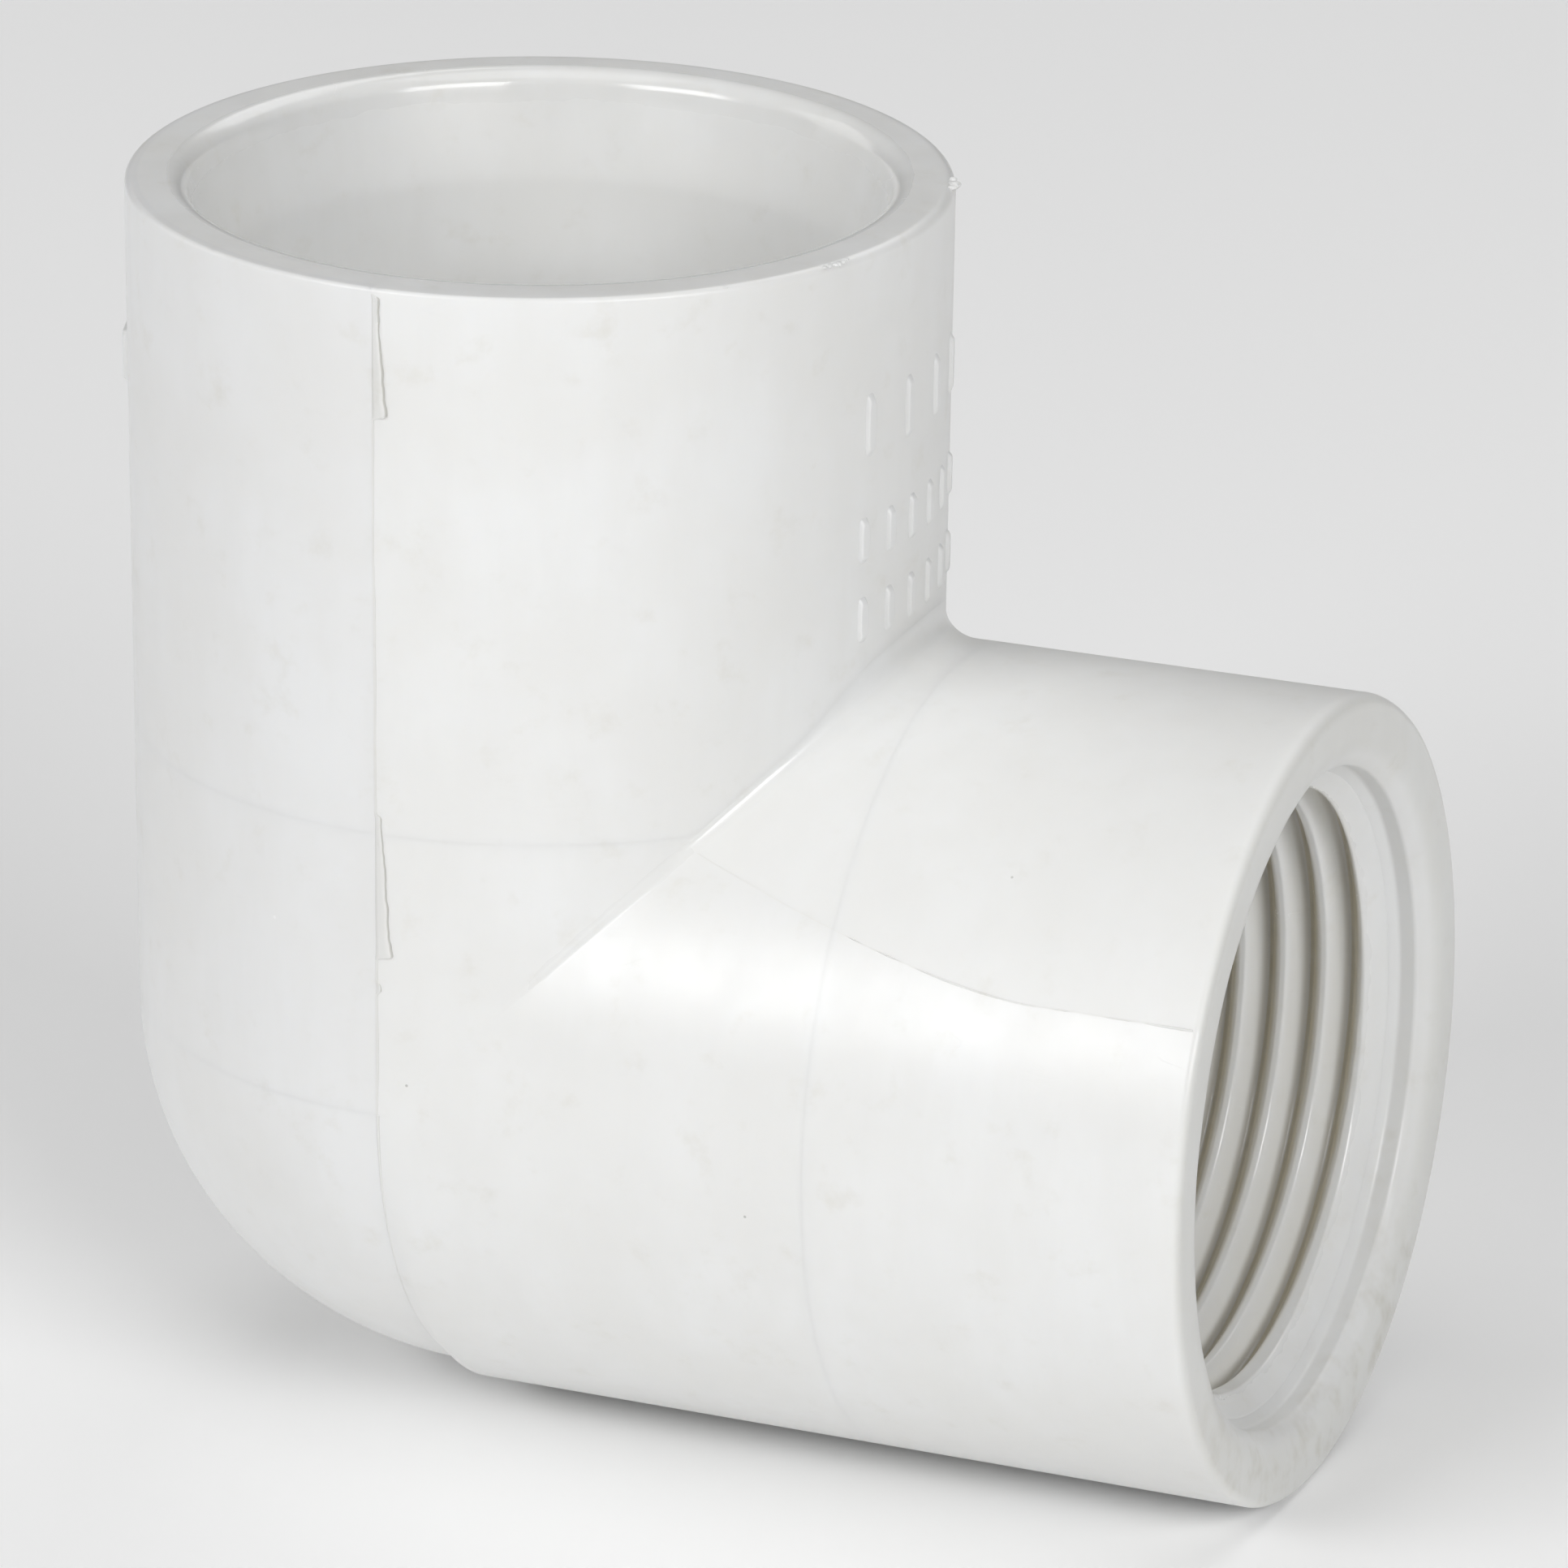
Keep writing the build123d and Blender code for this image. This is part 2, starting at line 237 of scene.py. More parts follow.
def arc(centre_r, centre_h, radius, start, end, rows):
    """Points of a rounded edge: rows of (radius, height), angles in degrees from outward."""
    a = np.radians(np.linspace(start, end, rows))[:, None]
    return centre_r + radius * np.cos(a), centre_h + radius * np.sin(a)


# ------------------------------------------------------------------ the valley between the legs
def blend_radius(x, y):
    local = SIDE_BLEND + (CROTCH_BLEND - SIDE_BLEND) * (1 - smooth(np.abs(y), CROTCH_NEAR, CROTCH_FAR))
    return local * np.clip(x / ROOT_R, 0, 1.1) ** 2


def skin_distance(p):
    """Distance outside the two legs joined with a rounded valley."""
    x, y, z = p[..., 0], p[..., 1], p[..., 2]
    to_socket = np.hypot(x, y) - socket_radius(z)
    to_hub = np.hypot(y, z) - hub_radius(x)
    k = blend_radius(x, y)
    inner = np.maximum(np.minimum(to_socket, to_hub), k)
    return inner - np.hypot(np.maximum(k - to_socket, 0), np.maximum(k - to_hub, 0))


def settle(points):
    """Moves points of the plain legs out onto the blended skin."""
    p = points.copy()
    live = (p[..., 0] > 1e-6) & (p[..., 2] > 1e-6)
    step = 1e-3
    for _ in range(7):
        d = skin_distance(p)
        ahead = [skin_distance(p + step * axis) - skin_distance(p - step * axis) for axis in np.eye(3)]
        slope = np.stack(ahead, -1) / (2 * step)
        size = np.maximum((slope**2).sum(-1), 0.2)
        move = np.where(live & (d < 0), -d / size, 0)
        p = p + slope * move[..., None]
    return p


def crossing(angle, own, other, extra):
    """Where a leg's generatrix comes out of the other leg, grown by extra."""
    along, aside = np.cos(angle), np.sin(angle)
    level = ROOT_R * np.maximum(along, 0)
    for _ in range(30):
        r = own(level)
        target = other(r * along) + extra
        fresh = np.sqrt(np.maximum(target**2 - (r * aside) ** 2, 0))
        level = np.where(along > 1e-9, 0.5 * level + 0.5 * fresh, 0)
    return level


half = COLUMNS // 2
turn = np.linspace(-math.pi, math.pi, COLUMNS + 1)  # about the socket axis, 0 is +X
valley = crossing(turn, socket_radius, hub_radius, 0)
reach = blend_radius(socket_radius(valley) * np.cos(turn), socket_radius(valley) * np.sin(turn))
valley_end = np.maximum(crossing(turn, socket_radius, hub_radius, reach * 1.04), valley + 0.3)
tube_start = np.maximum(valley_end, STOP)

leg_rows = np.vstack(
    [valley + (valley_end - valley) * t for t in np.linspace(0, 1, 17)]
    + [valley_end + (tube_start - valley_end) * t for t in np.linspace(0, 1, 13)[1:]]
)
socket_side = settle(about_z(socket_radius(leg_rows), turn[None], leg_rows))

# the threaded leg's columns start from the same valley points
is_front = np.abs(turn) <= math.pi / 2 + 1e-9
start_points = about_z(socket_radius(valley), turn, valley)[is_front][::-1]
up_angle = np.arctan2(start_points[:, 2], start_points[:, 1])
up_start = start_points[:, 0]
reach = blend_radius(up_start, start_points[:, 1])
low_angle = np.linspace(-math.pi, 0, half + 1)
hub_angle = np.concatenate([low_angle, up_angle[1:]])
hub_start = np.concatenate([np.zeros(half + 1), up_start[1:]])


def hub_blend_end(angle, start, extra):
    level = start + extra
    for _ in range(30):
        r = hub_radius(level)
        target = socket_radius(r * np.sin(angle)) + extra
        fresh = np.sqrt(np.maximum(target**2 - (r * np.cos(angle)) ** 2, 0))
        level = 0.5 * level + 0.5 * fresh
    return level


up_end = np.maximum(
    hub_blend_end(up_angle, up_start, reach * 1.04), up_start + HEEL_STEP * np.clip(1 - up_start / 3, 0.3, 1)
)
hub_zone = np.concatenate([np.full(half + 1, HEEL_STEP), up_end[1:]])
hub_rows = np.vstack(
    [hub_start + (hub_zone - hub_start) * t for t in np.linspace(0, 1, 17)]
    + [hub_zone + (HUB_JOIN - hub_zone) * t for t in np.linspace(0, 1, 15)[1:]]
)
hub_points = about_x(hub_radius(hub_rows), hub_angle[None], hub_rows)
low = slice(0, half + 1)
bevel = np.clip(hub_rows[:, low] / HEEL_STEP, 0, 1)
hub_points[:, low, 1] = np.cos(low_angle) * (ROOT_R + (hub_radius(hub_rows[:, low]) - ROOT_R) * bevel)
hub_points[:, low, 2] = np.sin(low_angle) * (HEEL_DROP + (hub_radius(hub_rows[:, low]) - HEEL_DROP) * bevel)
hub_side = settle(hub_points)

# waterway inside the corner
bore_bottom = WATERWAY * np.maximum(np.cos(turn), 0)
bore_down = np.vstack([STOP + (bore_bottom - STOP) * t for t in np.linspace(0, 1, 13)])
socket_bore = about_z(WATERWAY, turn[None], bore_down)
mitre = about_z(WATERWAY, turn, bore_bottom)[is_front][::-1]
bore_angle = np.concatenate([low_angle, np.arctan2(mitre[:, 2], mitre[:, 1])[1:]])
bore_start = np.concatenate([np.zeros(half + 1), mitre[1:, 0]])
bore_across = np.vstack([HUB_JOIN + (bore_start - HUB_JOIN) * t for t in np.linspace(0, 1, 13)])
hub_bore = about_x(WATERWAY, bore_angle[None], bore_across)


# ------------------------------------------------------------------ materials
class Paint:
    """A small builder for one node material; positions are in millimetres about the crossing."""

    def __init__(self, name):
        self.material = bpy.data.materials.new(name)
        self.material.use_nodes = True
        self.tree = self.material.node_tree
        self.tree.nodes.clear()
        self.out = self.add("ShaderNodeOutputMaterial")
        self.shader = self.add("ShaderNodeBsdfPrincipled")
        self.link(self.shader.outputs[0], self.out.inputs["Surface"])
        coordinates = self.add("ShaderNodeTexCoord")
        place = self.add("ShaderNodeMapping", Scale=(1 / MM,) * 3, Location=(0, 0, -AXIS_Z))
        self.link(coordinates.outputs["Object"], place.inputs["Vector"])
        self.place = place.outputs[0]
        split = self.add("ShaderNodeSeparateXYZ")
        self.link(self.place, split.inputs[0])
        self.x, self.y, self.z = split.outputs

    def add(self, kind, **values):
        node = self.tree.nodes.new(kind)
        for key, value in values.items():
            if key in node.inputs:
                node.inputs[key].default_value = value
            else:
                setattr(node, key, value)
        return node

    def link(self, source, target):
        self.tree.links.new(source, target)

    def set(self, target, value):
        if hasattr(value, "links"):
            self.link(value, target)
        else:
            target.default_value = value

    def math(self, operation, *values, clamp=False):
        node = self.add("ShaderNodeMath", operation=operation, use_clamp=clamp)
        for socket, value in zip(node.inputs, values):
            self.set(socket, value)
        return node.outputs[0]

    def length(self, *parts):
        squares = [self.math("POWER", part, 2.0) for part in parts]
        total = squares[0]
        for square in squares[1:]:
            total = self.math("ADD", total, square)
        return self.math("SQRT", total)

    def noise(self, size, detail=2.0, rough=0.5, stretch=(1, 1, 1), seed=0.0):
        """Fractal noise whose features are about that many millimetres across."""
        scale = tuple(s / size for s in stretch)
        place = self.add("ShaderNodeMapping", Scale=scale, Location=(seed, seed, seed))
        self.link(self.place, place.inputs["Vector"])
        node = self.add("ShaderNodeTexNoise", Detail=detail, Roughness=rough, Scale=1.0)
        self.link(place.outputs[0], node.inputs["Vector"])
        return node.outputs[0]

    def span(self, value, low, high, to_low=0.0, to_high=1.0, kind="SMOOTHSTEP"):
        node = self.add("ShaderNodeMapRange", interpolation_type=kind)
        settings = {"Value": value, "From Min": low, "From Max": high, "To Min": to_low, "To Max": to_high}
        for key, item in settings.items():
            self.set(node.inputs[key], item)
        return node.outputs[0]

    def mix(self, share, first, second, blend="MIX"):
        node = self.add("ShaderNodeMix", data_type="RGBA", blend_type=blend)
        for index, value in ((0, share), (6, first), (7, second)):
            if isinstance(value, tuple) and len(value) == 3:
                value = (*value, 1.0)
            self.set(node.inputs[index], value)
        return node.outputs[2]

    def dots(self, cell, size, share, seed):
        """Sparse specks: one in a share of the cells holds a round dot of that radius."""
        place = self.add("ShaderNodeMapping", Scale=(1 / cell,) * 3, Location=(seed, -seed, seed))
        self.link(self.place, place.inputs["Vector"])
        cells = self.add("ShaderNodeTexVoronoi", Scale=1.0)
        self.link(place.outputs[0], cells.inputs["Vector"])
        chosen = self.add("ShaderNodeSeparateColor")
        self.link(cells.outputs["Color"], chosen.inputs[0])
        near = self.span(cells.outputs["Distance"], size / cell * 0.6, size / cell, 1.0, 0.0)
        picked = self.math("GREATER_THAN", chosen.outputs[0], 1 - share)
        return self.math("MULTIPLY", near, picked)

    def bump(self, height, distance, strength, under=None):
        node = self.add("ShaderNodeBump", Strength=strength, Distance=distance * MM)
        self.link(height, node.inputs["Height"])
        if under is not None:
            self.link(under, node.inputs["Normal"])
        return node.outputs[0]


def outer_skin(paint, colour, gloss):
    """The polished lip, the two mould halves' different skins, handling dirt low on the threaded face, and
    painted shade darkening the threaded end face.
    """
    # the far half of the mould left a slightly cooler, darker skin behind the upright line
    drop = paint.math("MULTIPLY", paint.math("MINIMUM", paint.z, 0.0), ROOT_R / HEEL_DROP)
    from_socket = paint.length(paint.x, paint.y, drop)
    behind = paint.span(paint.x, -0.04, 0.04, 1.0, 0.0)
    far_half = paint.math("MULTIPLY", paint.span(from_socket, *SKIN), behind)
    far_half = paint.math("MULTIPLY", far_half, paint.span(paint.z, -12.0, 6.0, 0.3, 1.0))
    colour = paint.mix(far_half, colour, (0.966, 0.967, 0.975), "MULTIPLY")
    # the rounded lip of the slip socket is polished; the funnel and the bore below it are not
    near_rim = paint.span(paint.z, SOCKET_TOP - 2.0, SOCKET_TOP - 1.2)
    lip = paint.math("MULTIPLY", near_rim, paint.span(from_socket, LIP_INNER_R - 0.35, LIP_INNER_R))
    lip = paint.math("MULTIPLY", lip, paint.span(from_socket, 18.7, 18.95, 1.0, 0.0))
    gloss = paint.math("MULTIPLY_ADD", lip, -0.17, gloss)
    # the half above the hub's parting line came from the duller half of the mould
    from_hub = paint.length(paint.y, paint.z)
    rise = paint.span(paint.x, SEAM_LEVEL_X, SEAM_VALLEY_X, 0.0, 1.0, "LINEAR")
    angle = paint.math("MULTIPLY_ADD", paint.math("POWER", rise, SEAM_CURVE), SEAM_RISE, SEAM_ANGLE)
    line = paint.math("SINE", paint.math("RADIANS", angle))
    above = paint.math("SUBTRACT", paint.math("DIVIDE", paint.z, from_hub), line)
    on_hub = paint.math("GREATER_THAN", paint.math("SUBTRACT", paint.x, paint.z), 0.0)
    on_hub = paint.math("MULTIPLY", on_hub, paint.span(from_hub, *SKIN))
    dull = paint.math("MULTIPLY", paint.span(above, -0.003, 0.003), on_hub)
    gloss = paint.math("MULTIPLY_ADD", dull, 0.17, gloss)
    colour = paint.mix(paint.math("MULTIPLY", dull, 0.25), colour, (0.775, 0.775, 0.755))
    # handling dirt low down on the threaded face
    near_face = paint.span(paint.x, HUB_X - 2.0, HUB_X - 0.3)
    low_face = paint.math("MULTIPLY", near_face, paint.span(paint.z, -7.0, -15.0))
    low_face = paint.math("MULTIPLY", low_face, paint.span(from_hub, 20.3, 20.7, 1.0, 0.0))
    smudge = paint.span(paint.noise(2.6, 3.0, 0.6, seed=12.3), 0.45, 0.75, 0.0, 0.45)
    colour = paint.mix(paint.math("MULTIPLY", smudge, low_face), colour, SMUDGE_COLOUR)
    # painted shade: the threaded end face is darkened to stand for the weaker light it gets from the +X side
    face_painted_shade = paint.span(paint.x, HUB_X - 0.5, HUB_X - 0.05)
    return paint.mix(face_painted_shade, colour, (0.915, 0.915, 0.90), "MULTIPLY"), gloss


def thread_grooves(paint, colour, gloss):
    """Dirt and painted shade darkening each groove's root, and painted warm shade as a tan tint on each
    groove's mouth-side flank.
    """
    bearing = paint.math("DIVIDE", paint.math("ARCTAN2", paint.z, paint.y), 2 * math.pi)
    advance = paint.math("DIVIDE", paint.math("SUBTRACT", paint.x, HUB_X - GROOVE_DEPTH_AT_Y), PITCH)
    phase = paint.math("FRACT", paint.math("SUBTRACT", advance, bearing))
    root = paint.math("MULTIPLY_ADD", paint.math("SUBTRACT", paint.x, HUB_X), TAPER, ROOT_GROOVE_R)
    below = paint.math("SUBTRACT", root, paint.length(paint.y, paint.z))
    inner = paint.span(paint.x, HUB_X - 3.4, HUB_X - 2.7, 1.0, 0.0)
    # painted shade: a warm tan darkening, broken into patches, on each groove's mouth-side flank, standing
    # for that flank's warm bounced light
    patch = paint.span(paint.noise(2.4, 3.0, 0.6, seed=9.9), 0.3, 0.62, 0.7, 1.0)
    mouth_side_painted_shade = paint.math("MULTIPLY", paint.span(phase, 0.15, 0.55, 1.0, 0.0), patch)
    colour = paint.mix(paint.math("MULTIPLY", mouth_side_painted_shade, inner), colour, (0.90, 0.815, 0.62), "MULTIPLY")
    # the groove roots are darkened: partly real dirt, partly painted shade of the deep recess
    root_dirt_and_shade = paint.math("MULTIPLY", paint.span(below, 0.4, 0.02, 0.0, 0.5), inner)
    return paint.mix(root_dirt_and_shade, colour, GROOVE_DIRT_AND_SHADE_COLOUR), paint.math("MULTIPLY_ADD", inner, -0.16, gloss)


def flash_sides(paint, colour):
    """The sides of a flash line that face +X are in its own shade."""
    facing = paint.add("ShaderNodeNewGeometry")
    way = paint.add("ShaderNodeSeparateXYZ")
    paint.link(facing.outputs["Normal"], way.inputs[0])
    return paint.mix(paint.span(way.outputs[0], 0.35, 0.85, 0.0, 0.6), colour, FLASH_SHADE)


def hairlines(paint):
    """Scratches: thin contour lines of stretched noise, kept only in a few places."""
    hair = []
    for stretch, seed in (((2.6, 0.7, 0.5), 2.2), ((0.35, 0.9, 2.4), 6.4)):
        line = paint.math("ABSOLUTE", paint.math("SUBTRACT", paint.noise(2.0, 1.0, 0.4, stretch, seed), 0.5))
        place = paint.span(paint.noise(4.0, 1.0, 0.5, seed=seed + 20), 0.6, 0.68)
        hair.append(paint.math("MULTIPLY", paint.span(line, 0.0, 0.006, 1.0, 0.0), place))
    return paint.math("MAXIMUM", *hair)


def pvc(name, light, dark, rough, outside=False, thread=False, flash=False, dirt=0.35):
    """Moulded white PVC: soft gloss, cloudy colour, dust specks, handling scratches and flow marks."""
    paint = Paint(name)
    cloud = paint.noise(9.0, 3.0, 0.55)
    flow = paint.noise(2.4, 3.0, 0.6, (1, 1, 0.22), 5.9)
    colour = paint.mix(paint.span(cloud, 0.3, 0.7), light, dark)
    colour = paint.mix(paint.span(flow, 0.35, 0.75, 0.0, 0.5), colour, tuple(c * 0.985 for c in dark))
    stain = paint.span(paint.noise(2.2, 4.0, 0.6, seed=8.7), 0.55, 0.85, 0.0, dirt)
    colour = paint.mix(stain, colour, STAIN_COLOUR)
    colour = paint.mix(paint.math("MULTIPLY", paint.dots(2.3, 0.09, 0.045, 5.3), 0.6), colour, SPECK_COLOUR)
    colour = paint.mix(paint.math("MULTIPLY", paint.dots(3.1, 0.12, 0.03, 1.9), 0.6), colour, CHIP_COLOUR)
    scratches = hairlines(paint)
    gloss = paint.span(paint.noise(2.6, 3.0, 0.6, seed=4.4), 0.3, 0.75, rough - 0.03, rough + 0.05)
    gloss = paint.math("MULTIPLY_ADD", scratches, 0.15, gloss)
    # the crease between the legs is shiny along the elbow's sides
    crease = paint.math("ABSOLUTE", paint.math("SUBTRACT", paint.x, paint.z))
    low_side = paint.span(paint.math("ABSOLUTE", paint.y), 9.5, 11.5)
    shiny = paint.math("MULTIPLY", paint.span(crease, 0.1, 0.7, 1.0, 0.0), low_side)
    shiny = paint.math("MULTIPLY", shiny, paint.span(paint.x, 6.0, 10.0))
    gloss = paint.math("MULTIPLY_ADD", shiny, -0.2, gloss)
    if outside:
        colour, gloss = outer_skin(paint, colour, gloss)
    if thread:
        colour, gloss = thread_grooves(paint, colour, gloss)
    if flash:
        colour = flash_sides(paint, colour)
    paint.link(colour, paint.shader.inputs["Base Color"])
    paint.link(gloss, paint.shader.inputs["Roughness"])
    waves = paint.bump(paint.noise(7.5, 2.0, 0.5, (1, 1, 0.6), 7.7), 0.045, 0.5)
    grain = paint.bump(paint.noise(0.5, 3.0, 0.55, seed=3.1), 0.006, 0.3, waves)
    marks = paint.bump(scratches, -0.006, 0.4, grain)
    paint.link(marks, paint.shader.inputs["Normal"])
    paint.shader.inputs["IOR"].default_value = 1.53
    paint.shader.inputs["Subsurface Weight"].default_value = 0.12
    paint.shader.inputs["Subsurface Radius"].default_value = (1.0, 0.9, 0.75)
    paint.shader.inputs["Subsurface Scale"].default_value = 0.8 * MM
    return paint.material


BODY_LIGHT, BODY_DARK = (0.83, 0.835, 0.83), (0.80, 0.80, 0.785)
BODY_ROUGH = 0.33
body = pvc("pvc_body", BODY_LIGHT, BODY_DARK, BODY_ROUGH, outside=True)
thread_paint = pvc("pvc_thread", BODY_LIGHT, BODY_DARK, BODY_ROUGH, thread=True)
flash_paint = pvc("pvc_flash", (0.84, 0.84, 0.82), (0.78, 0.775, 0.75), 0.36, flash=True, dirt=0.6)
mark_paint = pvc("pvc_marks", (0.84, 0.845, 0.84), (0.80, 0.80, 0.79), BODY_ROUGH)

# ------------------------------------------------------------------ corner
corner = Shell()
corner.grid(socket_side)
stop_ring = about_z(SOCKET_BORE, turn, STOP)
corner.grid(np.stack([socket_side[-1], stop_ring]))
corner.grid(between(stop_ring, about_z(WATERWAY, turn, STOP), 4))
corner.grid(socket_bore)
corner.grid(hub_side)
hub_ends = [about_x(radius, hub_angle, HUB_JOIN) for radius in (RUNOUT_R, WATERWAY)]
corner.grid(np.stack([hub_side[-1], *hub_ends]))
corner.grid(hub_bore)
corner.grid(np.stack([hub_side[0, low], about_x(WATERWAY, low_angle, 0.0)]))
left, right = turn[turn <= -math.pi / 2 + 1e-9], turn[turn >= math.pi / 2 - 1e-9]
for part in (left, right):
    corner.grid(np.stack([about_z(ROOT_R, part, 0.0), about_z(WATERWAY, part, 0.0)]))
corner.build("corner_skin", body, ["elbow_corner"])

# ------------------------------------------------------------------ heel
heel = Shell()
latitude = np.linspace(0, -math.pi / 2, half // 2 + 1)[:, None]
heel_turn = np.linspace(math.pi / 2, 3 * math.pi / 2, half + 1)[None]
outer_dome = about_z(ROOT_R * np.cos(latitude), heel_turn, HEEL_DROP * np.sin(latitude))
inner_dome = about_z(WATERWAY * np.cos(latitude), heel_turn, WATERWAY * np.sin(latitude))
heel.grid(outer_dome)
heel.grid(inner_dome)
heel.grid(np.stack([outer_dome[0], inner_dome[0]]))
for side in (0, -1):
    heel.grid(np.stack([outer_dome[:, side], inner_dome[:, side]]))
heel.build("heel_skin", body, ["elbow_heel"])

# ------------------------------------------------------------------ slip socket
rim_edge = RIM_EDGE_MEAN + RIM_EDGE_SWING * np.sin(turn)
edge_z = SOCKET_TOP - rim_edge
tube_rows = np.vstack([tube_start + (edge_z - tube_start) * t for t in np.linspace(0, 1, 25)])
socket = Shell()
socket.grid(about_z(socket_radius(tube_rows), turn[None], tube_rows))
edge_r, edge_h = arc(socket_radius(edge_z) - rim_edge, edge_z, rim_edge, 0, 90, 9)
socket.grid(about_z(edge_r, turn[None], edge_h))
lip_r, lip_h = arc(LIP_CENTRE_R, SOCKET_TOP - LIP_R, LIP_R, 90, 90 + LIP_ARC, 15)
flat = np.linspace(0, 1, 7)[:, None]
socket.grid(about_z(edge_r[-1] * (1 - flat) + lip_r[0] * flat, turn[None], SOCKET_TOP + 0 * flat))
socket.grid(about_z(lip_r, turn[None], lip_h))
t = np.linspace(0, 1, 19)[:, None]
knee = lip_h[-1, 0] - (lip_r[-1, 0] - SOCKET_BORE) / math.tan(math.radians(90 - LIP_ARC))
funnel_r = (1 - t) ** 2 * lip_r[-1, 0] + (1 - (1 - t) ** 2) * SOCKET_BORE
funnel_z = (1 - t) ** 2 * lip_h[-1, 0] + 2 * t * (1 - t) * knee + t**2 * (SOCKET_TOP - FUNNEL_DEPTH)
socket.grid(about_z(funnel_r, turn[None], funnel_z))
bore_z = np.linspace(SOCKET_TOP - FUNNEL_DEPTH, STOP, 13)[:, None]
socket.grid(about_z(SOCKET_BORE, turn[None], bore_z))
socket.grid(np.stack([stop_ring, about_z(socket_radius(tube_start), turn, tube_start)]))

# lumps of flash on the rim's outer edge
RIM_CRUMBS = (  # bearing in degrees from +X, distance in from the rim's edge, size
    (-24.6, 0.12, 0.14),
    (-23.4, 0.30, 0.20),
    (-22.7, 0.10, 0.16),
    (-21.9, 0.22, 0.24),
    (-20.9, 0.12, 0.15),
    (-19.9, 0.34, 0.11),
    (17.6, 0.16, 0.22),
    (19.4, 0.12, 0.36),
    (21.6, 0.18, 0.24),
    (-41.0, 0.14, 0.10),
    (-89.2, 0.20, 0.15),
    (-90.4, 0.16, 0.13),
    (-118.0, 0.20, 0.09),
)
CRUMB_SEED = 70
crumb_turn = np.linspace(0, 2 * math.pi, 25)[None]
crumb_rise = np.linspace(-math.pi / 2, math.pi / 2, 13)[:, None]
ball = about_z(np.cos(crumb_rise), crumb_turn, np.sin(crumb_rise))
for number, (bearing, inset, size) in enumerate(RIM_CRUMBS):
    uneven = 1 + 0.22 * round_noise(crumb_turn, CRUMB_SEED + number, (2, 3, 5)) * np.cos(crumb_rise) ** 2
    a = math.radians(bearing)
    out_to = SOCKET_R - 0.1 - 0.5 * inset
    spot = np.array((out_to * math.cos(a), out_to * math.sin(a), SOCKET_TOP - 0.01 - size * 0.6))
    socket.grid(spot + ball * uneven[..., None] * size * (1.0, 1.0, 0.6))
socket.build("socket_skin", body, ["slip_socket"])

# ------------------------------------------------------------------ threaded tube
around = np.linspace(0, 2 * math.pi, COLUMNS + 1)
face_edge = FACE_EDGE + FACE_EDGE_TOP * smooth(np.sin(around), 0.7, 1.0)
edge_x = HUB_X - face_edge
outside_x = [HUB_JOIN + (edge_x - HUB_JOIN) * t for t in np.linspace(0, 1, 13)]
profile = [(x, hub_radius(x)) for x in outside_x]
edge_centre_r = hub_radius(edge_x) - face_edge
for a in np.radians(np.linspace(90, 0, 9))[1:]:
    profile.append((edge_x + face_edge * math.cos(a), edge_centre_r + face_edge * math.sin(a)))
worn = 0.07 * round_noise(around, 5, (2, 5, 9, 14, 23)) * (0.4 + 0.6 * smooth(-np.sin(around), 0.2, 0.9))
flat_r = MOUTH_FLAT_R + worn
profile += [(HUB_X, edge_centre_r + (flat_r - edge_centre_r) * t) for t in np.linspace(0, 1, 6)[1:]]
for a in np.radians(np.linspace(0, 45, 10))[1:]:
    profile.append((HUB_X - MOUTH_ROLL * (1 - math.cos(a)), flat_r - MOUTH_ROLL * math.sin(a)))


def turned(corners, radius, rows=5):
    """Points down a profile of (depth, radius) corners, each corner rounded off."""
    points = [corners[0]]
    for before, here, after in zip(corners, corners[1:], corners[2:]):
        before, here, after = (np.array(p) for p in (before, here, after))
        inward = (before - here) / np.linalg.norm(before - here)
        onward = (after - here) / np.linalg.norm(after - here)
        for t in np.linspace(0, 1, rows):
            points.append(here + radius * ((1 - t) ** 2 * inward + t**2 * onward))
    return points + [corners[-1]]


def lead_in_radius(depth):
    """The 45 degree lead-in that runs from the counterbore down to the thread's crest."""
    return np.maximum(RING_R - (depth - RING_DEPTH), LAND_R)


roll_depth = MOUTH_ROLL * (1 - math.cos(math.pi / 4))
roll_r = MOUTH_FLAT_R - MOUTH_ROLL * math.sin(math.pi / 4)
MOUTH_FOLD = 0.15  # how far each corner inside the mouth is rounded
lead_corners = [
    (roll_depth, roll_r),
    (roll_depth + roll_r - RING_R, RING_R),
    (RING_DEPTH, RING_R),
    (LINER_DEPTH, lead_in_radius(LINER_DEPTH)),
]
profile += [(HUB_X - depth, r) for depth, r in turned(lead_corners, MOUTH_FOLD, 7)[1:]]
liner_x = HUB_X - LINER_DEPTH
profile += [(liner_x, LINER_BACK_R), (LINER_END_X, LINER_BACK_R)]
profile += [(LINER_END_X, BEHIND_THREAD_R), (LINER_END_X - RUNOUT_SHOULDER, RUNOUT_R)]
profile += [(HUB_JOIN, RUNOUT_R), profile[0]]
tube = Shell()
tube.grid(np.stack([about_x(r, around, x) for x, r in profile]))
tube.build("threaded_skin", body, ["threaded_socket"])

# ------------------------------------------------------------------ thread
thread_turn = np.linspace(0, 2 * math.pi, 541)
thread_x = np.linspace(liner_x, LINER_END_X, 260)[:, None]
first_groove = HUB_X - GROOVE_DEPTH_AT_Y
phase = (thread_x - first_groove) / PITCH - thread_turn[None] / (2 * math.pi)
to_groove = np.abs(phase - np.round(phase)) * 2  # 0 in a groove's root, 1 on a crest
tooth = np.clip((to_groove - 0.06) / 0.8, 0, 1)
rounded = 0.45 * tooth + 0.55 * (1 - np.cos(math.pi * tooth)) / 2
crest = CREST_R + TAPER * (thread_x - HUB_X)
root = ROOT_GROOVE_R + TAPER * (thread_x - HUB_X)
